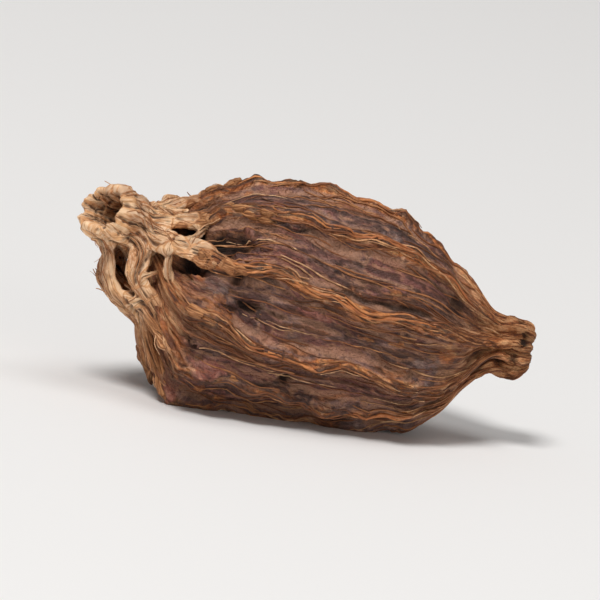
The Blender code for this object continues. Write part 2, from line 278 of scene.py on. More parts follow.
def husk_form(column, station, radius, height):
    """The husk's main shape, in the pod's own frame: skin, ridges and ribs.

    A column counts the ridges round the pod, with its share of the way to the next one, and a
    station is a distance from the tip.
    """
    index = np.floor(column).astype(int) % RIDGES
    after = (index + 1) % RIDGES
    share = column - np.floor(column)
    first = ridge_angle(index, station, radius)
    gap = (ridge_angle(after, station, radius) - first) % (2 * math.pi)
    angle = first + share * gap
    nearest = np.where(share < 0.5, index, after)
    width = gap * radius + 1e-9
    off = np.where(share < 0.5, share, share - 1) * width
    foot = np.minimum(RIDGE_HALF_WIDTH, 0.36 * width)
    sway = noise(nearest * 3.0, station / 0.0013 + 0.5 * noise(
        nearest * 3.0, station / 0.0047, 3 * RIDGES, 15), 3 * RIDGES, 11)
    foot = foot * (0.92 + 0.10 * sway)
    ridge = smooth_step(1.12 - np.abs(off) / foot) ** 0.85
    swell = 1 + waves(station, (0.0056, 0.0027), (0.14, 0.14), PHASES["swell"][nearest])
    knobs = noise(nearest * 3.0 + 1, station / 0.00085 + 2 * sway, 3 * RIDGES, 12)
    knobs = 0.96 + 0.15 * smooth_step((knobs - 0.10) / 0.6)
    rope = 1 + 0.08 * np.cos(2 * math.pi * (off / 0.00031 + 1.1 * noise(
        nearest * 3.0 + 2, station / 0.0024, 3 * RIDGES, 13)))
    ridge = ridge * RIDGE_HEIGHT * height * swell * knobs * rope
    rib = np.clip(1 - np.abs(share - 0.5) * width / RIB_HALF_WIDTH, 0, 1)
    presence = 0.5 + waves(station, (0.019, 0.0043), (0.6, 0.25), PHASES["rib"][index])
    rib = rib * RIB_HEIGHT * np.clip(presence, 0, 1) * smooth_step((radius - 0.002) / 0.003)
    lean = waves(station, (0.0095, 0.0040), (0.10, 0.08), PHASES["lean"][nearest])
    angle = angle + lean * ridge / np.maximum(radius, 0.002)
    three_sided = 1 + 0.018 * np.cos(3 * (angle - math.radians(40)))
    return around(angle, radius * three_sided + ridge + rib, station), ridge / RIDGE_HEIGHT


turn = np.arange(HUSK_COLUMNS) / PER_RIDGE
share = turn % 1
column = np.floor(turn) + share - CROWDING * np.sin(2 * math.pi * share)
rows = outline_rows(HUSK_OUTLINE, HUSK_ROWS)
station, radius, height = (np.repeat(row[:, None], HUSK_COLUMNS, axis=1) for row in rows.T)
column = np.repeat(column[None, :], HUSK_ROWS + 1, axis=0)
form, crest = husk_form(column, station, radius, height)

# Fibres lie under the skin in fours between the ridges, and the skin has shrunk onto them
# and puckered. It is pitted where it has sunk furthest: near the flower tube and the tip.
fullness = smooth_step((radius - 0.001) / 0.005)
across = 2 * math.pi * radius / RIDGES
sector, share = np.floor(column), column % 1
veins = np.zeros_like(column)
for number, home in enumerate((0.20, 0.40, 0.60, 0.80)):
    own = 4 * sector + number
    drift = 0.11 * noise(own, station / 0.0052, 4 * RIDGES, 61)
    drift = drift + 0.035 * noise(own, station / 0.0013, 4 * RIDGES, 62)
    strength = np.clip(0.45 + 1.1 * noise(own, station / 0.0034, 4 * RIDGES, 63), 0, 1)
    off = np.abs(share - home - drift) * across
    veins = np.maximum(veins, strength * smooth_step(1.15 - off / 0.00022))
bend = 0.7 * noise(2 * column, station / 0.0033, 2 * RIDGES, 21)
slip = 0.8 * noise(4 * column, station / 0.0021, 4 * RIDGES, 29)
seeds = noise(2 * column, station / 0.0026, 2 * RIDGES, 22)
lenses = folds(5 * column + bend, station / 0.0027 + slip, 5 * RIDGES, 23)
puckers = folds(9 * column + 1.5 * bend, station / 0.0013 + slip, 9 * RIDGES, 30)
wrinkles = folds(19 * column + 3 * bend, station / 0.0008 + slip, 19 * RIDGES, 24)
grain = noise(40 * column, station / 0.00034, 40 * RIDGES, 26)
edge = 1 + 0.4 * noise(12 * column, station / 0.0005, 12 * RIDGES, 25)
edge = np.maximum(edge + 0.35 * noise(24 * column, station / 0.0003, 24 * RIDGES, 68), 0.7)
# Marks of its own: the column and station of each, its half width, half length and height
# in mm, and what it is.
MARKS = [(*row, kind) for kind, rows in {
    "hollow": (
        (3.33, 0.0007, 0.24, 0.22, -0.24), (2.08, 0.0013, 0.22, 0.20, -0.20),
        (3.45, 0.0232, 0.66, 1.50, -0.60), (3.78, 0.0250, 0.35, 0.70, -0.50),
        (2.84, 0.0220, 0.22, 0.50, -0.40), (2.43, 0.0208, 0.34, 0.55, -0.60),
        (3.66, 0.0064, 0.34, 0.50, -0.19), (3.43, 0.0125, 0.25, 0.60, -0.15),
        (2.72, 0.0250, 0.35, 0.55, -0.50), (1.31, 0.0169, 0.16, 0.30, -0.25),
        (0.31, 0.0151, 0.12, 2.20, -0.25), (1.55, 0.0022, 0.20, 0.42, -0.20),
    ),
    "rust": (
        (2.63, 0.0065, 0.42, 0.50, 0.12), (3.37, 0.0112, 0.16, 0.40, 0.10),
        (3.95, 0.0087, 0.30, 0.35, 0.10), (4.75, 0.0213, 0.25, 0.55, 0.15),
        (1.28, 0.0248, 0.45, 0.80, 0.30), (2.17, 0.0227, 0.35, 0.80, 0.25),
        (1.53, 0.0069, 0.30, 0.90, 0.15), (0.60, 0.0045, 0.30, 0.90, 0.15),
        (3.30, 0.0032, 0.30, 0.60, 0.16), (2.55, 0.0024, 0.30, 0.40, 0.16),
        (4.20, 0.0036, 0.30, 0.60, 0.12), (1.90, 0.0050, 0.30, 0.50, 0.12),
        (2.57, 0.0127, 0.16, 0.60, 0.08), (2.62, 0.0103, 0.16, 0.50, 0.08),
    ),
    "flush": (
        (3.75, 0.0190, 0.30, 1.20, 0.20), (3.28, 0.0190, 0.34, 1.30, 0.20),
        (2.69, 0.0163, 0.26, 1.30, 0.12), (1.15, 0.0223, 0.40, 0.90, 0.20),
        (0.20, 0.0238, 0.40, 0.60, 0.25), (1.40, 0.0236, 0.30, 0.40, 0.20),
    ),
    "bloom": (
        (2.60, 0.0232, 0.60, 0.80, 0.10), (2.36, 0.0078, 0.55, 1.10, 0.05),
    ),
}.items() for row in rows]
MARKS += [(c, 0.0009, 0.20, 0.22, -0.16, "hollow") for c in (0.4, 4.6, 5.8, 6.9, 8.2, 9.6)]
SMALL_HOLLOWS, FAR_SPOTS, SHOULDER_MARKS = 90, 40, 64
draw = np.random.RandomState(27)
for number in range(SMALL_HOLLOWS):
    size = draw.uniform(0.05, 0.15)
    where = (draw.uniform(0.3, 10.7), draw.uniform(0.003, 0.025))
    MARKS.append((*where, size, 4 * size, -1.2 * size, "hollow"))
for number in range(FAR_SPOTS):
    size = draw.uniform(0.15, 0.35)
    where = (draw.uniform(4.3, 11.2), draw.uniform(0.003, 0.025))
    kind = draw.choice(("rust", "flush", "bloom"))
    MARKS.append((*where, size, 2.5 * size, 0.4 * size, kind))
# The shoulders round the flower tube are knobbly, with hollows between the knobs that are painted
# dark as shade.
for number in range(SHOULDER_MARKS):
    size = draw.uniform(0.14, 0.30)
    where = (draw.randint(RIDGES) + draw.uniform(0.3, 0.7), draw.uniform(0.0195, 0.0250))
    if number % 3 == 2:
        MARKS.append((*where, 0.5 * size, 1.6 * size, -1.0 * size, "hollow"))
    else:
        kind = draw.choice(("rust", "rust", "flush"))
        MARKS.append((*where, size, 1.5 * size, 0.6 * size, kind))
marks = {kind: np.zeros_like(column) for kind in ("hollow", "rust", "flush", "bloom")}
marked = np.zeros_like(column)
for at_column, at_station, wide, long, high, kind in MARKS:
    aside = (column - at_column + RIDGES / 2) % RIDGES - RIDGES / 2
    reach = 1000 * np.hypot(aside * across / wide, (station - at_station) / long)
    here = smooth_step(1.8 - reach * edge)
    marks[kind] = np.maximum(marks[kind], here * (min(1, -4 * high) if kind == "hollow" else 1))
    marked = np.where(np.abs(high * here) > np.abs(marked), high * here, marked)
between = 1 - 0.8 * np.clip(crest, 0, 1)
# Cracks run along the foot of each ridge, here on one side and there on the other: sunk a little
# into the skin and painted nearly black as shade.
off = (column - np.rint(column)) * across
beside = 2 * np.rint(column) + (off > 0)
open_here = np.clip(0.25 + 1.3 * noise(beside, station / 0.0031, 2 * RIDGES, 66), 0, 1)
foot = 0.00070 + 0.00016 * noise(beside, station / 0.0011, 2 * RIDGES, 67)
cracks_and_shade = fullness * open_here * smooth_step(1.3 - np.abs(np.abs(off) - foot) / 0.00014)
fine = fullness * (
    0.00012 * seeds * between
    + 0.00022 * veins * between
    + 0.00018 * lenses * between
    + 0.00010 * puckers * (0.35 + 0.65 * between)
    + 0.00009 * wrinkles
    + 0.00003 * grain
    - 0.00046 * between
)
pinched = smooth_step((0.0045 - station) / 0.003)
flutes = noise(4 * column + 0.5 * bend, station / 0.0022, 4 * RIDGES, 28)
lumps = noise(3 * column, station / 0.0009, 3 * RIDGES, 64)
fine = fine + pinched * smooth_step(radius / 0.001) * (
    0.00010 * flutes + 0.00010 * lumps + 0.00005 * wrinkles
)
fine = fine + 0.001 * marked - 0.00016 * cracks_and_shade
sheet = sheet_normals(form)
skin = form + sheet * fine[..., None]
husk_mesh = closed_mesh("husk", lay(skin))
husk = placed("husk", husk_mesh)


def by_vertex(values):
    """Values on rows and columns in the order of the husk's vertices."""
    return np.concatenate([values[0, :1], values[1:-1].ravel(), values[-1, :1]])


# The skin's pattern runs along the pod: mm along it, and round it at its mean radius.
MEAN_RADIUS_MM = 7.0
round_it = 2 * math.pi * column / RIDGES
flow = (1000 * station, MEAN_RADIUS_MM * np.cos(round_it), MEAN_RADIUS_MM * np.sin(round_it))
store(husk_mesh, "flow", np.stack([by_vertex(values) for values in flow], axis=1))
WORN = np.array((1.0, 0.9, 1.0, 1.9, 1.5, 1.4, 1.2, 1.1, 1.1, 1.2, 1.1))  # how far each ridge is
worn = WORN[np.rint(column).astype(int) % RIDGES]
worn = worn * (1 + 0.45 * noise(np.rint(column), station / 0.0019, RIDGES, 65))
store(husk_mesh, "fine_relief", relief(husk_mesh, 5))
store(husk_mesh, "broad_relief", relief(husk_mesh, 90))
shoulder = smooth_step((station - 0.0225) / 0.004)
# Towards the tip the end colour is laid on more strongly: partly the woody tan of the ends, partly
# painted light on the tip.
point = 1.4 * smooth_step((0.0080 - station) / 0.0055)
for name, values in {
    "crest": np.clip(crest, 0, 1.2) ** 1.5 * worn, "painted_crack_shade": cracks_and_shade, "vein": veins,
    "lens": lenses * between, "woody_and_painted_light": np.maximum(shoulder, point), **marks,
}.items():
    store(husk_mesh, name, by_vertex(values))


def colour(text):
    """An sRGB hex colour as linear red, green, blue and alpha."""
    parts = np.array([int(text[k:k + 2], 16) for k in (1, 3, 5)]) / 255
    linear = np.where(parts <= 0.04045, parts / 12.92, ((parts + 0.055) / 1.055) ** 2.4)
    return (*linear.tolist(), 1.0)


def connect(tree, node, inputs):
    """Sets a node's inputs, with colours as hex, or links them to a socket or a node's first."""
    for name, value in inputs.items():
        if isinstance(value, bpy.types.Node):
            value = value.outputs[0]
        if isinstance(value, bpy.types.NodeSocket):
            tree.links.new(value, node.inputs[name])
        else:
            is_hex = isinstance(value, str) and value.startswith("#")
            node.inputs[name].default_value = colour(value) if is_hex else value


def add(tree, kind, inputs={}, **settings):
    """Adds a node with its settings and inputs."""
    made = tree.nodes.new(kind)
    for name, value in settings.items():
        setattr(made, name, value)
    connect(tree, made, inputs)
    return made


def new_material(name, roughness, specular):
    """A material with its shader, whose even values sit on the shader itself."""
    made = bpy.data.materials.new(name)
    made.use_nodes = True
    shader = made.node_tree.nodes["Principled BSDF"]
    shader.inputs["Roughness"].default_value = roughness
    shader.inputs["Specular IOR Level"].default_value = specular
    return made, made.node_tree, shader


def ramp(tree, factor, stops):
    """Turns a number into a colour or a grey by a few stops."""
    made = add(tree, "ShaderNodeValToRGB", {"Fac": factor})
    points = made.color_ramp.elements
    while len(points) < len(stops):
        points.new(0.5)
    for element, (place, shade) in zip(points, stops):
        element.position = place
        element.color = colour(shade) if isinstance(shade, str) else (shade, shade, shade, 1)
    return made.outputs["Color"]


def blended(tree, factor, first, second):
    """Mixes two colours by a factor."""
    inputs = {0: factor, 6: first, 7: second}  # a colour mix has its colours at 6 and 7
    return add(tree, "ShaderNodeMix", inputs, data_type="RGBA").outputs[2]


def layered(tree, base, layers):
    """Lays colours over a base, each as far as its own number says."""
    for factor, shade in layers:
        base = blended(tree, factor, base, shade)
    return base


def read(tree, name, output="Fac"):
    """A number or vector stored on the vertices."""
    return add(tree, "ShaderNodeAttribute", attribute_name=name).outputs[output]


def between_values(tree, value, low, high, top):
    """0 where a value is at low, and top where it is at high."""
    return add(tree, "ShaderNodeMapRange", {
        "Value": value, "From Min": low, "From Max": high, "To Max": top,
    }).outputs[0]


def times(tree, first, second):
    """The product of two numbers."""
    return add(tree, "ShaderNodeMath", {0: first, 1: second}, operation="MULTIPLY").outputs[0]


def patchy(tree, name, pattern, low, high, top):
    """0 to top as a stored number times a pattern goes from low to high."""
    return between_values(tree, times(tree, read(tree, name), pattern), low, high, top)


def mottle(tree, place, size, detail, roughness, distortion=0.0):
    """Noise whose patches are about a size across, in the units of place."""
    return add(tree, "ShaderNodeTexNoise", {
        "Vector": place, "Scale": 1 / size, "Detail": detail, "Roughness": roughness,
        "Distortion": distortion,
    }).outputs["Fac"]


def stretched(tree, place, along):
    """Places whose pattern is drawn out along the first axis."""
    return add(tree, "ShaderNodeMapping", {"Vector": place, "Scale": (along, 1, 1)}).outputs[0]


def bumped(tree, height, distance, **below):
    """Shallow relief, on top of the Normal that lies below it, if any."""
    return add(tree, "ShaderNodeBump", {
        "Height": height, "Strength": 1.0, "Distance": distance, **below,
    }).outputs[0]


# Smoke-dried husk, a matt woody skin: purple-brown and greyish in the valleys, rust to tan on the
# ridges where it has rubbed, with painted shade, nearly black, in the creases and sunken places,
# and painted highlights where it stands proud.
dried_husk, tree, shader = new_material("smoke_dried_husk", 0.55, 0.45)
flow = read(tree, "flow", "Vector")
along_fibres = stretched(tree, flow, 0.32)
loosely = stretched(tree, flow, 0.4)
patches = mottle(tree, loosely, 2.2, 4.0, 0.6, 0.6)
streaks = mottle(tree, along_fibres, 0.40, 5.0, 0.72, 0.3)
flecks = mottle(tree, loosely, 0.55, 6.0, 0.8)
skin_colour = ramp(tree, patches, (
    (0.36, "#472e27"), (0.46, "#6f5046"), (0.55, "#8b695e"), (0.66, "#a48378"),
))
streak_colour = ramp(tree, streaks, ((0.38, "#351f19"), (0.5, "#724b3f"), (0.62, "#ad7f6d")))
ridge_colour = ramp(tree, streaks, (
    (0.34, "#6a371a"), (0.45, "#ad602b"), (0.55, "#cf8043"), (0.66, "#ecb27a"),
))
end_colour = ramp(tree, streaks, ((0.38, "#6a381d"), (0.48, "#c0733d"), (0.58, "#f4b57e")))
flush_colour = ramp(tree, streaks, ((0.38, "#6b3a32"), (0.5, "#a05a4b"), (0.62, "#c88674")))
bloom_colour = ramp(tree, streaks, ((0.38, "#5c4642"), (0.5, "#8a706a"), (0.62, "#b39a90")))
near_crests = add(tree, "ShaderNodeMath", {0: read(tree, "crest"), 1: 0.25}, operation="ADD")
# Painted highlights: small pale glints on and near the crests, standing in for light glinting on a
# slightly glossy skin.
painted_glints = between_values(tree, mottle(tree, loosely, 0.42, 2.0, 0.5, 0.4), 0.60, 0.68, 0.8)
painted_glints = add(
    tree, "ShaderNodeMath", {0: painted_glints, 1: near_crests}, operation="MULTIPLY", use_clamp=True,
)
# The hollows are painted nearly black: painted shade in the recesses.
hollow = read(tree, "hollow")
body_colour = layered(tree, skin_colour, (
    (0.5, streak_colour),
    (between_values(tree, flecks, 0.57, 0.65, 0.6), "#a0623c"),
    (patchy(tree, "lens", patches, 0.22, 0.45, 0.7), "#8a5148"),
    (patchy(tree, "vein", streaks, 0.18, 0.42, 0.85), "#ac6c42"),
    (patchy(tree, "crest", flecks, 0.20, 0.42, 0.95), ridge_colour),
    # painted highlights: pale glints near the crests
    (painted_glints, "#dca680"),
    # painted highlight: paler where the skin stands proud of its surroundings
    (patchy(tree, "fine_relief", flecks, 0.004, 0.022, 0.5), "#bd8a68"),
    # painted shade: darker in the broad sunken places and the fine creases of the skin
    (between_values(tree, read(tree, "broad_relief"), -0.10, -0.45, 0.6), "#331d14"),
    (between_values(tree, read(tree, "fine_relief"), -0.004, -0.045, 0.65), "#2b1710"),
    # woody tan at the shoulder and the tip, and painted light at the tip
    (times(tree, read(tree, "woody_and_painted_light"), 0.65), end_colour),
    (patchy(tree, "bloom", flecks, 0.32, 0.58, 0.7), bloom_colour),
    (patchy(tree, "flush", flecks, 0.32, 0.58, 0.65), flush_colour),
    (patchy(tree, "rust", flecks, 0.32, 0.58, 0.75), ridge_colour),
    # painted shade: nearly black along the cracks at the ridges' feet
    (between_values(tree, read(tree, "painted_crack_shade"), 0.1, 0.9, 0.85), "#24130c"),
    # painted shade: nearly black in the hollows
    (hollow, "#231108"),
))
gloss = blended(tree, hollow, ramp(tree, streaks, ((0.3, 0.68), (0.7, 0.38))), "#ffffff")
dents = bumped(tree, streaks, 0.00045)
threads = bumped(tree, mottle(tree, along_fibres, 0.16, 3.0, 0.6), 0.00025, Normal=dents)
pores = bumped(tree, mottle(tree, loosely, 0.22, 3.0, 0.65), 0.00025, Normal=threads)
connect(tree, shader, {"Base Color": body_colour, "Roughness": gloss, "Normal": pores})
husk_mesh.materials.append(dried_husk)
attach(husk, "root")
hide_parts("pod")

# The crown. The stub of the flower tube, hollow and fluted, and the woody strands that run
# down from it to the ridges. They are veins of the husk, left standing free in bundles of
# fibres as the soft tissue between them dried away.
TUBE_RADIUS, BORE_RADIUS, BORE_DEPTH = 0.00150, 0.00112, 0.0026
LONG_SIDE = math.radians(235)
FLUTE_HEIGHT = 0.00030
STRAND_RADIUS = 0.00042
THREAD_RADIUS = 0.00025
KNOT_RADIUS = 0.00052
VOXEL = 0.000092
bore_floor = TUBE_LIP - BORE_DEPTH
# Distance from the tip, radius, and the share of their full height that the flutes have.
TUBE_OUTLINE = np.array((
    (TUBE_START, 0.0, 0.0),
    (TUBE_START + 0.0002, 1.2 * TUBE_RADIUS, 0.4),
    (TUBE_START + 0.0012, 1.15 * TUBE_RADIUS, 1.0),
    (TUBE_START + 0.0024, TUBE_RADIUS, 1.0),
    (TUBE_LIP - 0.0005, 1.08 * TUBE_RADIUS, 1.0),
    (TUBE_LIP, 0.5 * (TUBE_RADIUS + BORE_RADIUS), 0.7),
    (TUBE_LIP - 0.0005, BORE_RADIUS, 0.0),
    (bore_floor + 0.0003, 0.8 * BORE_RADIUS, 0.0),
    (bore_floor, 0.0, 0.0),
))
PER_FLUTE, TUBE_ROWS = 8, 70
turn = np.repeat(np.arange(2 * RIDGES * PER_FLUTE)[None, :] / PER_FLUTE, TUBE_ROWS + 1, axis=0)
tube_rows = outline_rows(TUBE_OUTLINE, TUBE_ROWS)
station, radius, height = (np.repeat(row[:, None], turn.shape[1], axis=1) for row in tube_rows.T)
corners = np.radians(np.array(RIDGE_ANGLES + (RIDGE_ANGLES[0] + 360,)))
angle = np.interp(turn / 2, np.arange(RIDGES + 1), corners)
flute = 0.5 + 0.5 * np.cos(math.pi * turn)
flute = flute * FLUTE_HEIGHT * (1 + 0.4 * np.sin(5 * angle)) * height
flute = flute + 0.00012 * noise(turn, station / 0.0008, 2 * RIDGES, 31)
ragged = 0.0005 * np.cos(angle - LONG_SIDE) + 0.00015 * np.sin(3 * angle)
ragged = ragged + 0.00022 * noise(turn, 0 * turn, 2 * RIDGES, 32)
ragged = ragged * smooth_step((station - TUBE_LIP + 0.0016) / 0.0016)
tube_mesh = closed_mesh("flower_tube", around(angle, radius + flute, station + ragged))


# Each row: the ridge, the angle on the tube, where the strand leaves the tube and how far off
# it then stands, where it lands on the ridge, how far it bows out, and its thickness.
STRANDS = (
    (0, -92, 0.0294, 0.0008, 0.0263, 0.0010, 1.15),
    (1, -30, 0.0284, 0.0007, 0.0263, 0.0007, 1.0),
    (3, 8, 0.0282, 0.0004, 0.0240, 0.0004, 1.2),
    (4, 45, 0.0280, 0.0003, 0.0250, 0.0002, 1.2),
    (5, 80, 0.0280, 0.0001, 0.0252, -0.0001, 1.2),
    (6, 125, 0.0280, 0.0001, 0.0250, 0.0, 1.1),
    (7, 160, 0.0282, 0.0004, 0.0250, 0.0006, 1.0),
    (8, 192, 0.0284, 0.0005, 0.0256, 0.0010, 1.1),
    (9, 224, 0.0286, 0.0007, 0.0260, 0.0010, 1.0),
    (10, 256, 0.0290, 0.0008, 0.0262, 0.0012, 1.1),
)
BRIDGES = ((0, 0.44, 1, 0.44), (3, 0.50, 4, 0.56), (7, 0.50, 8, 0.46))  # strand and share of it
STRAND_POINTS = 64


def at_ridge(ridge, station, lift):
    """A point on a ridge's crest, lifted clear of it or sunk into it."""
    outline = outline_rows(HUSK_OUTLINE, 400)[40:]
    radius, height = (np.interp(station, outline[:, 0], outline[:, k]) for k in (1, 2))
    angle = ridge_angle(ridge, np.array(station), radius)
    return around(angle, np.array(radius + RIDGE_HEIGHT * height + lift), np.array(station))


def at_tube(degrees, station, lift):
    """A point on the flower tube's outside, lifted clear of it or sunk into it."""
    return around(np.radians(degrees), np.array(TUBE_RADIUS + lift), np.array(station))


def strand_line(ridge, degrees, leaves, off, lands, bow):
    """From deep in a ridge, out over the collar in an arch, and up the flower tube to its lip."""
    root = at_ridge(ridge, lands - 0.0022, -0.0009)
    landing = at_ridge(ridge, lands, -0.0001)
    foot = at_tube(degrees, leaves, off)
    neck = at_tube(degrees, leaves + 0.0008, 0.0001)
    end = at_tube(degrees, TUBE_LIP - 0.0011, -0.0002)
    arch = 0.5 * (landing + foot) + np.array((-bow, 0.0, 0.0))
    return smooth_curve(np.array((root, landing, arch, foot, neck, end)), STRAND_POINTS)


def along(line, share):
    """The point at a share of the way along a line."""
    at = np.linspace(0, 1, len(line))
    return np.array([np.interp(share, at, line[:, k]) for k in range(3)])


lines = [strand_line(*row[:-1]) for row in STRANDS]
thicknesses = [row[-1] for row in STRANDS]
widths = [1.0] * len(lines)
loop_join = 0.5 * (along(lines[0], 0.46) + along(lines[1], 0.46))
ends = [(along(lines[a], b), along(lines[c], d), 0.8) for a, b, c, d in BRIDGES]
ends += [
    (at_ridge(2, 0.0256, -0.0004), along(lines[2], 0.56), 0.6),
    (at_ridge(4, 0.0238, -0.0012), along(lines[2], 0.40), 0.5),
    (at_ridge(2, 0.0264, -0.0006), along(lines[1], 0.55), 0.45),
    (at_ridge(0, 0.0240, -0.0004), loop_join, 1.0),
    (at_ridge(1, 0.0250, -0.0006), loop_join, 0.7),
]
for start, end, thickness in ends:
    sag = 0.0003 * np.sin(np.linspace(0, math.pi, 20))[:, None] * np.array((-1.0, -0.4, 0.3))
    lines.append(start + (end - start) * np.linspace(0, 1, 20)[:, None] + sag)
    thicknesses.append(thickness)
    widths.append(0.5)
own_lines = len(lines)
# Between neighbours near the tube the strands part from one sheet of fibres, torn at its edge.
draw = np.random.RandomState(40)
for first, second, reach in (
    (4, 3, 0.36), (3, 2, 0.60), (2, 1, 0.66), (1, 0, 0.84), (5, 4, 0.55), (6, 5, 0.6),
    (7, 6, 0.6), (8, 7, 0.40), (9, 8, 0.36), (0, 9, 0.50),
):
    for share in (0.25, 0.5, 0.75):
        torn = round((reach + draw.uniform(-0.05, 0.05)) * STRAND_POINTS)
        lines.append((lines[first] * (1 - share) + lines[second] * share)[torn:])
        thicknesses.append(1.0 if (first, second) == (4, 3) else 0.75)
        widths.append(0.6)


def curve_object(name, paths):
    """Curves through paths of points, each path with its thicknesses."""
    data = bpy.data.curves.new(name, "CURVE")
    data.dimensions = "3D"
    for path, sizes in paths:
        spline = data.splines.new("POLY")
        spline.points.add(len(path) - 1)
        for point, where, size in zip(spline.points, path, sizes):
            point.co = (*where, 1.0)
            point.radius = size
    return placed(name, data)


# A strand is four fibres side by side, which spread where it stands free.
middle = smooth_curve(np.array(MIDDLE_LINE), 400)
threads = []
draw = np.random.RandomState(41)
for line, thickness, wide in zip(lines, thicknesses, widths):
    ahead = unit(np.gradient(line, axis=0))
    home = [np.interp(-line[:, 0], middle[:, 0], middle[:, k]) for k in (2, 1)]
    outward = line - np.stack([line[:, 0], -home[0], home[1]], axis=1)
    side = unit(np.cross(ahead, outward))
    outward = np.cross(side, ahead)
    steps = np.arange(len(line))
    share = steps / (len(line) - 1)
    spread = 0.35 + 0.65 * smooth_step(share / 0.4) - 0.45 * smooth_step((share - 0.7) / 0.3)
    for fibre in (-1.0, -0.33, 0.33, 1.0):
        across = fibre * spread * STRAND_RADIUS * thickness * wide * 1.15
        across = across + 0.00010 * np.sin(steps / draw.uniform(4, 9) + draw.uniform(0, 6))
        out = 0.00012 * np.sin(steps / draw.uniform(4, 9) + draw.uniform(0, 6))
        out = out - 0.00012 * abs(fibre)
        path = line + across[:, None] * side + out[:, None] * outward
        swell = 1 + 0.14 * np.sin(steps / draw.uniform(2.2, 4) + draw.uniform(0, 6))
        swell = swell + 0.14 * np.sin(steps / draw.uniform(1.2, 2) + draw.uniform(0, 6))
        swell = swell * (1 - 0.55 * smooth_step((share - 0.65) / 0.35))
        swell = swell * (0.55 + 0.45 * smooth_step(share / 0.3))
        threads.append((path, swell * thickness))
strands_object = curve_object("strands", threads)


def new_tree(name, sizes):
    """An empty Geometry Nodes tree with named inputs, and its two ends."""
    made = bpy.data.node_groups.new(name, "GeometryNodeTree")
    made.interface.new_socket("Geometry", in_out="INPUT", socket_type="NodeSocketGeometry")
    for label, kind, value in sizes:
        socket = made.interface.new_socket(label, in_out="INPUT", socket_type=kind)
        if value is not None:
            socket.default_value = value
    made.interface.new_socket("Geometry", in_out="OUTPUT", socket_type="NodeSocketGeometry")
    return made, add(made, "NodeGroupInput").outputs, add(made, "NodeGroupOutput").inputs[0]


def finish_tree(tree, shape, given, result):
    """Ends a tree: what it has made becomes plain geometry with its finish."""
    shape = add(tree, "GeometryNodeRealizeInstances", {0: shape})
    shape = add(tree, "GeometryNodeSetMaterial", {"Geometry": shape, "Material": given["Finish"]})
    tree.links.new(shape.outputs[0], result)


def thread_tree(name, radius, sides):
    """A tree that draws each curve as a round thread, as thick as its points say."""
    tree, given, result = new_tree(name, (
        ("Thread radius", "NodeSocketFloat", radius),
        ("Sides", "NodeSocketInt", sides),
        ("Finish", "NodeSocketMaterial", None),
    ))
    profile = add(tree, "GeometryNodeCurvePrimitiveCircle", {
        "Resolution": given["Sides"], "Radius": given["Thread radius"],
    })
    made = add(tree, "GeometryNodeCurveToMesh", {
        "Curve": given["Geometry"], "Profile Curve": profile,
        "Scale": add(tree, "GeometryNodeInputRadius"), "Fill Caps": True,
    })
    finish_tree(tree, made, given, result)
    return tree


def applied(target, step):
    """The mesh that an object has with its modifier, which is then taken off."""
    target.update_tag()
    bpy.context.view_layer.update()
    graph = bpy.context.evaluated_depsgraph_get()
    mesh = bpy.data.meshes.new_from_object(target.evaluated_get(graph))
    target.modifiers.remove(step)
    return mesh


def grow(target, tree, values):
    """Runs a tree on an object, with its inputs set by identifier, and returns a plain mesh."""
    step = target.modifiers.new(tree.name, "NODES")
    step.node_group = tree
    for item in tree.interface.items_tree:
        if item.in_out == "INPUT" and item.name in values:
            step[item.identifier] = values[item.name]
    return applied(target, step)


bark, tree, shader = new_material("woody_strand", 0.55, 0.35)
strand_mesh = grow(strands_object, thread_tree("woody_fibres", THREAD_RADIUS, 10), {
    "Thread radius": THREAD_RADIUS, "Sides": 10, "Finish": bark,
})

# Knots stand where strands take root and round the flower tube's lip: lumps of fibre, each
# turned and sized its own way.
LIP_KNOTS, STRAND_KNOTS, RIDGE_KNOTS = 10, 30, 22
draw = np.random.RandomState(8)
knots = []  # where each is, which way it runs, and its size


def ridge_knot(ridge, station, lift, size, spread=0.0):
    """Adds a knot on a ridge."""
    here, ahead = at_ridge(ridge, station, lift), at_ridge(ridge, station + 0.0003, lift)
    knots.append((here + draw.normal(size=3) * spread, ahead - here, size))


for ridge, *_, lands, _, _ in STRANDS:
    ridge_knot(ridge, lands - draw.uniform(0.0002, 0.0024), -0.0005, 1.1)
ridge_knot(2, 0.0240, -0.0005, 1.1)
knots.append((loop_join, lines[0][30] - lines[0][26], 1.4))
up_tube = lines[4][60] - lines[4][56]
knots.append((at_tube(100, TUBE_LIP - 0.0009, 0.0002), up_tube, 1.0))
for number in range(LIP_KNOTS):
    where = at_tube(draw.uniform(0, 360), TUBE_LIP - draw.uniform(0.0002, 0.0012), 0.0001)
    knots.append((where, up_tube, draw.uniform(0.3, 0.5)))
for number in range(STRAND_KNOTS):
    chosen = lines[draw.randint(len(STRANDS))]
    step = draw.randint(14, 50)
    where = chosen[step] + draw.normal(size=3) * 0.0002
    knots.append((where, chosen[step + 1] - chosen[step], draw.uniform(0.4, 0.75)))
for number in range(RIDGE_KNOTS):
    ridge = draw.choice((3, 4, 4, 4, 5, 5, 5, 6, 1, 0))
    ridge_knot(ridge, draw.uniform(0.0200, 0.0246), -0.0003, draw.uniform(0.5, 0.8), 0.0002)
knot_points = bpy.data.meshes.new("knots")
knot_points.from_pydata([tuple(where) for where, _, _ in knots], [], [])
store(knot_points, "size", np.array([size for _, _, size in knots]))
turned = [Vector(ahead).to_track_quat("X", "Z").to_euler() for _, ahead, _ in knots]
store(knot_points, "turned", np.array([tuple(euler) for euler in turned]))
knots_object = placed("knots", knot_points)
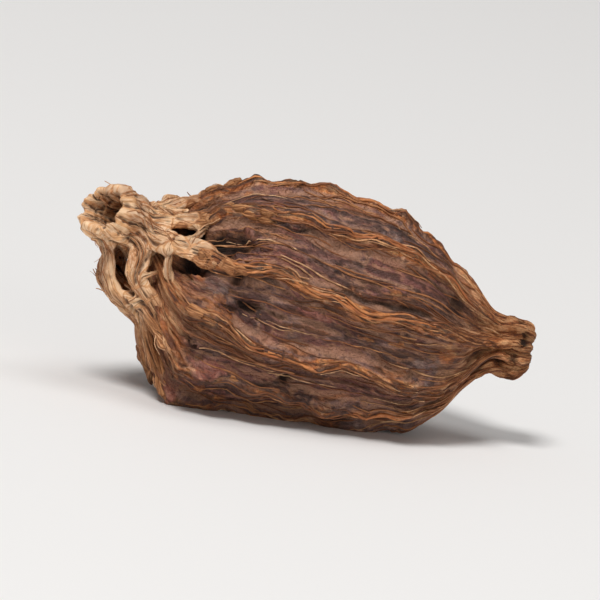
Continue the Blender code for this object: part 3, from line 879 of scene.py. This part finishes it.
lumps, given, result = new_tree("woody_knots", (
    ("Knot radius", "NodeSocketFloat", KNOT_RADIUS),
    ("Seed", "NodeSocketInt", 5),
    ("Finish", "NodeSocketMaterial", None),
))
ball = add(lumps, "GeometryNodeMeshIcoSphere", {"Radius": given["Knot radius"], "Subdivisions": 3})
lumpy = add(lumps, "ShaderNodeTexNoise", {
    "Vector": add(lumps, "GeometryNodeInputPosition"), "Scale": 1 / 0.0007, "Detail": 2.0,
})
push = add(lumps, "ShaderNodeVectorMath", {
    0: lumpy.outputs["Color"], 1: (0.5, 0.5, 0.5),
}, operation="SUBTRACT")
push = add(lumps, "ShaderNodeVectorMath", {0: push, "Scale": 0.0009}, operation="SCALE")
ball = add(lumps, "GeometryNodeSetPosition", {"Geometry": ball, "Offset": push})
spin = add(lumps, "FunctionNodeRandomValue", {
    "Seed": given["Seed"], "Min": (-0.25, -0.25, -0.25), "Max": (0.25, 0.25, 0.25),
}, data_type="FLOAT_VECTOR")
way = add(lumps, "GeometryNodeInputNamedAttribute", {"Name": "turned"}, data_type="FLOAT_VECTOR")
spin = add(lumps, "ShaderNodeVectorMath", {0: spin, 1: way}, operation="ADD")
big = add(lumps, "GeometryNodeInputNamedAttribute", {"Name": "size"})
big = add(lumps, "ShaderNodeVectorMath", {0: (1.7, 0.9, 0.8), "Scale": big}, operation="SCALE")
made = add(lumps, "GeometryNodeInstanceOnPoints", {
    "Points": given["Geometry"], "Instance": ball, "Rotation": spin, "Scale": big,
})
finish_tree(lumps, made, given, result)
knot_mesh = grow(knots_object, lumps, {"Knot radius": KNOT_RADIUS, "Seed": 5, "Finish": bark})

# The tube, strands and knots grew together, so they are fused into one skin.
fused = bmesh.new()
for part in (tube_mesh, strand_mesh, knot_mesh):
    fused.from_mesh(part)
crown_mesh = bpy.data.meshes.new("crown")
fused.to_mesh(crown_mesh)
fused.free()
crown = placed("crown", crown_mesh)
for spare in (strands_object, knots_object):
    bpy.data.objects.remove(spare, do_unlink=True)
join = crown.modifiers.new("fuse", "REMESH")
join.mode = "VOXEL"
join.voxel_size = VOXEL
join.use_smooth_shade = True
crown_mesh = applied(crown, join)
crown.data = crown_mesh
move_vertices(crown_mesh, eased(crown_mesh, vertex_rows(crown_mesh, "co"), 2))
places, normals = vertex_rows(crown_mesh, "co"), vertex_rows(crown_mesh, "normal")


def nearest_finder(points):
    """A search tree over points."""
    finder = KDTree(len(points))
    for number, where in enumerate(points):
        finder.insert(Vector(where), number)
    finder.balance()
    return finder


# Grain runs along each strand: distance along it, turn round it, and which one it is.
facts = []
for number, line in enumerate(lines[:own_lines]):
    run = np.concatenate([[0], np.cumsum(np.linalg.norm(np.diff(line, axis=0), axis=1))])
    ahead = np.gradient(line, axis=0)
    for step, where in enumerate(line):
        facts.append((number, run[step], step / (len(line) - 1), *where, *ahead[step]))
facts += [(len(lines), 0.0, 0.0, *where, *way) for where, way, _ in knots if where[0] > -0.0256]
facts = np.array(facts)
nearest = nearest_finder(facts[:, 3:6])
found = facts[[nearest.find(Vector(where))[1] for where in places]]
ahead = unit(found[:, 6:9])
side = np.cross(ahead, (0.31, 0.83, 0.46))
other = np.cross(ahead, side)
away = places - found[:, 3:6]
about = np.arctan2((away * other).sum(axis=1), (away * side).sum(axis=1))
run = found[:, 1] + (away * ahead).sum(axis=1)
GROOVES = 13  # round each strand
rings = (about / (2 * math.pi) % 1 + np.round(found[:, 0])) * GROOVES
grooves = noise(rings, run / 0.0016, GROOVES * (len(lines) + 1), 51)
pits = noise(places[:, 0] / 0.00035 + places[:, 1] / 0.0005, places[:, 2] / 0.0004, 997, 52)
# The grooves fade out where one strand meets the next.
numbers = found[:, :1]
meets = (np.abs(eased(crown_mesh, numbers, 1) - numbers) > 0.001).astype(float)
apart = 1 - np.clip(2 * eased(crown_mesh, meets, 3)[:, 0], 0, 1)
places = places + normals * (0.00011 * grooves * apart + 0.00005 * pits)[:, None]
move_vertices(crown_mesh, lay(places))
crown_mesh.shade_smooth()
grain = np.stack([run * 1000, 3 * np.cos(about) + 7 * found[:, 0], 3 * np.sin(about)], axis=1)
store(crown_mesh, "grain", grain)
# The strands are rust-coloured at their roots, and the lowest strands are rust-coloured furthest
# up: there it is painted shade, darker and redder on the strands that face down.
low_strands_shade = {0: 0.25, 1: 0.22, 9: 0.20, 16: 0.50, 17: 0.50}
reach = np.array([low_strands_shade.get(number, 0.0) for number in range(len(lines) + 1)])
root = 1 - smooth_step((found[:, 2] - reach[found[:, 0].astype(int)]) / 0.45)
store(crown_mesh, "root", root)
store(crown_mesh, "meets", meets[:, 0])
store(crown_mesh, "fine_relief", relief(crown_mesh, 4))
store(crown_mesh, "broad_relief", relief(crown_mesh, 40))

# Dry woody vein tissue: tan, paler where it stands proud, with painted shade: dark brown in its
# grooves and nearly black in the gaps between the strands.
grain = stretched(tree, read(tree, "grain", "Vector"), 0.45)
streaks = mottle(tree, grain, 1 / 1.4, 5.0, 0.65)
place = add(tree, "ShaderNodeTexCoord").outputs["Object"]
patches = mottle(tree, place, 0.0016, 3.0, 0.6)
meets = read(tree, "meets")
streaks = blended(tree, meets, streaks, (0.41, 0.41, 0.41, 1))
tan = ramp(tree, streaks, ((0.34, "#7c492b"), (0.44, "#d79a68"), (0.54, "#ffdfbb")))
rust = ramp(tree, streaks, ((0.36, "#532c17"), (0.5, "#a5632f"), (0.62, "#dd9a60")))
bark_colour = layered(tree, tan, (
    (0.45, ramp(tree, patches, ((0.38, "#94562f"), (0.58, "#f0bd88")))),
    # rust at the roots, and painted shade on the lowest strands
    (times(tree, read(tree, "root"), 0.85), rust),
    # painted shade: dark in the gaps between strands and in the grooves
    (between_values(tree, read(tree, "broad_relief"), -0.02, -0.14, 0.75), "#331a0e"),
    (between_values(tree, read(tree, "fine_relief"), -0.004, -0.03, 0.7), "#40241a"),
))
lines_height = mottle(tree, grain, 0.25, 3.0, 0.6)
lines_height = blended(tree, meets, lines_height, (0.45, 0.45, 0.45, 1))
connect(tree, shader, {
    "Base Color": bark_colour, "Roughness": ramp(tree, streaks, ((0.3, 0.68), (0.7, 0.42))),
    "Normal": bumped(tree, lines_height, 0.00012),
})
crown_mesh.materials.clear()
crown_mesh.materials.append(bark)
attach(crown, "root")

# The fibres. Thin dry veins that lie along the husk and the strands, half sunk in the skin, and
# have lifted and snapped here and there as the pod was rubbed against others.
HUSK_FIBRES, CROWN_FIBRES = 760, 1100
FIBRE_STEP = 0.0003
FIBRE_RADIUS, FIBRE_SIDES = 0.0001, 5
SHADES = {"husk": (0.0, 0.65), "cord": (0.82, 1.0), "crown": (0.35, 0.7)}
draw = np.random.RandomState(71)
first_row = int(np.argmin(rows[:, 0]))
shares = np.arange(PER_RIDGE + 1) / PER_RIDGE
crowded = shares - CROWDING * np.sin(2 * math.pi * shares)


def on_husk(column, station, lift):
    """Points on the finished skin, lifted clear of it or sunk into it, in the pod's own frame."""
    row = np.interp(station, rows[first_row:, 0], np.arange(first_row, HUSK_ROWS + 1))
    own = column % RIDGES
    place = PER_RIDGE * (np.floor(own) + np.interp(own % 1, crowded, shares))
    low_r = np.minimum(np.floor(row).astype(int), HUSK_ROWS - 1)
    low_c = np.floor(place).astype(int)
    a, b = (row - low_r)[:, None], (place - low_c)[:, None]
    found = 0
    for i, j, weight in (
        (0, 0, (1 - a) * (1 - b)), (1, 0, a * (1 - b)), (0, 1, (1 - a) * b), (1, 1, a * b),
    ):
        at = (low_r + i, (low_c + j) % HUSK_COLUMNS)
        found = found + weight * (skin[at] + lift[:, None] * sheet[at])
    return found


fibre_paths = []  # the way of each, its thickness and what it is
for number in range(HUSK_FIBRES):
    near_ridge = draw.uniform() < 0.45
    home = draw.randint(RIDGES) + draw.normal() * 0.09 if near_ridge else draw.uniform(0, RIDGES)
    length = draw.uniform(0.0012, 0.0070)
    start = draw.uniform(0.0012, 0.0256 - length)
    steps = np.linspace(0, 1, max(7, round(length / FIBRE_STEP)))
    drift = draw.normal() * 0.10 * length / 0.006
    swing = 0.012 * np.sin(steps * length / 0.0006 + draw.uniform(0, 6))
    lift = -0.00005 + 0.00009 * np.sin(math.pi * steps) ** 0.5
    if draw.uniform() < 0.16:
        free = smooth_step((np.abs(steps - draw.choice((0, 1))) - 0.65) / 0.35)
        lift = lift + draw.uniform(0.0001, 0.0003) * free * smooth_step((start - 0.005) / 0.004)
    path = on_husk(home + drift * steps + swing, start + length * steps, lift)
    fibre_paths.append((path, draw.uniform(0.00003, 0.00007), "husk"))
# Ropy cords run along the crests of the ridges, most of all where they are worn.
for ridge, first, last, strands in (
    (3, 0.0030, 0.0236, 9), (4, 0.0040, 0.0240, 6), (5, 0.0060, 0.0240, 6), (2, 0.0080, 0.0236, 4),
    (1, 0.0070, 0.0240, 3), (6, 0.0060, 0.0240, 5), (8, 0.0050, 0.0240, 5), (9, 0.0060, 0.0240, 3),
):
    for number in range(strands):
        length = draw.uniform(0.002, 0.007)
        steps = np.linspace(0, 1, round(length / FIBRE_STEP))
        where = draw.uniform(first, last - length) + length * steps
        swing = draw.normal() * 0.035 + 0.02 * np.sin(where / 0.0011 + draw.uniform(0, 6))
        lift = 0.00001 + 0.00004 * np.sin(where / 0.0009 + draw.uniform(0, 6))
        path = on_husk(ridge + swing, where, lift)
        fibre_paths.append((path, draw.uniform(0.00007, 0.00012), "cord"))
# On the crown a fibre walks over the skin, step by step, the way that the grain runs.
skin_finder = nearest_finder(places)
for chosen in draw.choice(len(places), CROWN_FIBRES, replace=False):
    way = draw.choice((-1, 1))
    length = draw.uniform(0.0007, 0.0026)
    drift = draw.normal(size=3) * 0.25
    free = draw.uniform(0.0002, 0.0007) if draw.uniform() < 0.12 else 0.0
    at, last, path = places[chosen], chosen, []
    for step in np.linspace(0, 1, 9):
        slope = way * ahead[last] + drift
        slope = slope - normals[last] * (slope @ normals[last])
        at = at + slope / max(np.linalg.norm(slope), 0.2) * length / 8
        last = skin_finder.find(Vector(at))[1]
        at = at - normals[last] * ((at - places[last]) @ normals[last])
        path.append(at + normals[last] * (0.00001 + free * step**3))
    path = np.array(path)
    steps = unit(np.diff(path, axis=0))
    if (steps[1:] * steps[:-1]).sum(axis=1).min() > 0.5:
        fibre_paths.append((path, draw.uniform(0.000022, 0.000045), "crown"))
hair_paths = []
for path, size, _ in fibre_paths:
    taper = np.sin(np.linspace(0.12, 0.88, len(path)) * math.pi) ** 0.6
    taper = taper * (1 + 0.22 * np.sin(1.3 * np.arange(len(path)) + 9e4 * size))
    hair_paths.append((path, taper * size / FIBRE_RADIUS))
hairs = curve_object("hairs", hair_paths)

# Dry fibre, straw to rust, each in its own shade.
straw, tree, shader = new_material("dry_fibre", 0.5, 0.35)
place = add(tree, "ShaderNodeTexCoord").outputs["Object"]
spots = mottle(tree, place, 0.0007, 4.0, 0.7)
fibre_colour = ramp(tree, read(tree, "shade"), (
    (0.0, "#4e2d1c"), (0.3, "#8f5733"), (0.5, "#c58a5a"), (0.7, "#edc295"), (0.8, "#a1592e"),
    (1.0, "#cf8750"),
))
fibre_colour = blended(tree, between_values(tree, spots, 0.42, 0.58, 0.6), fibre_colour, "#7a482b")
connect(tree, shader, {
    "Base Color": fibre_colour, "Roughness": ramp(tree, spots, ((0.3, 0.4), (0.7, 0.65))),
})
hair_mesh = grow(hairs, thread_tree("fine_fibres", FIBRE_RADIUS, FIBRE_SIDES), {
    "Thread radius": FIBRE_RADIUS, "Sides": FIBRE_SIDES, "Finish": straw,
})
bpy.data.objects.remove(hairs, do_unlink=True)
move_vertices(hair_mesh, lay(vertex_rows(hair_mesh, "co")))
hair_mesh.shade_smooth()
shades = []
for path, _, kind in fibre_paths:
    shades.append(np.full(FIBRE_SIDES * len(path), draw.uniform(*SHADES[kind])))
store(hair_mesh, "shade", np.concatenate(shades))
fibres = placed("fibres", hair_mesh)
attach(fibres, "root")

# The studio: a plain pale floor, a broad soft light above and to the left, and a weak fill.
pale, tree, shader = new_material("pale_floor", 0.6, 0.2)
connect(tree, shader, {"Base Color": "#f2f0ee"})
floor_mesh = bpy.data.meshes.new("floor")
floor_mesh.from_pydata([(-3, -3, 0), (3, -3, 0), (3, 3, 0), (-3, 3, 0)], [], [(0, 1, 2, 3)])
floor_mesh.materials.append(pale)
placed("floor", floor_mesh)

TARGET = Vector((0.0, 0.0, 0.0078))


def aim(item, azimuth, elevation, distance):
    """Puts a camera or light round the pod, facing it."""
    az, el = math.radians(azimuth), math.radians(elevation)
    away = Vector((math.sin(az) * math.cos(el), -math.cos(az) * math.cos(el), math.sin(el)))
    item.location = TARGET + away * distance
    item.rotation_euler = (-away).to_track_quat("-Z", "Y").to_euler()


for name, azimuth, elevation, size, power in (
    ("key_light", -35, 55, 0.45, 15.5),
    ("top_light", 50, 75, 0.90, 5.0),
    ("fill_light", 20, 15, 0.90, 3.0),
):
    light = bpy.data.lights.new(name, "AREA")
    light.shape = "DISK"
    light.size = size
    light.energy = power
    aim(placed(name, light), azimuth, elevation, 1.5)
world = bpy.data.worlds.new("soft_room")
world.use_nodes = True
world.node_tree.nodes["Background"].inputs["Color"].default_value = colour("#f5f5f5")
world.node_tree.nodes["Background"].inputs["Strength"].default_value = 0.25
scene = bpy.context.scene
scene.world = world
scene.view_settings.view_transform = "Standard"

# The camera looks from a little above and to the left, tilted so that the pod slants as shown.
camera_data = bpy.data.cameras.new("camera")
camera_data.sensor_width = 36
camera_data.lens = 450
camera_data.clip_start = 0.01
camera_data.dof.use_dof = False
camera = placed("camera", camera_data)
aim(camera, -12, 10, 0.5)
camera.rotation_euler.rotate_axis("Z", math.radians(10.7))
scene.camera = camera
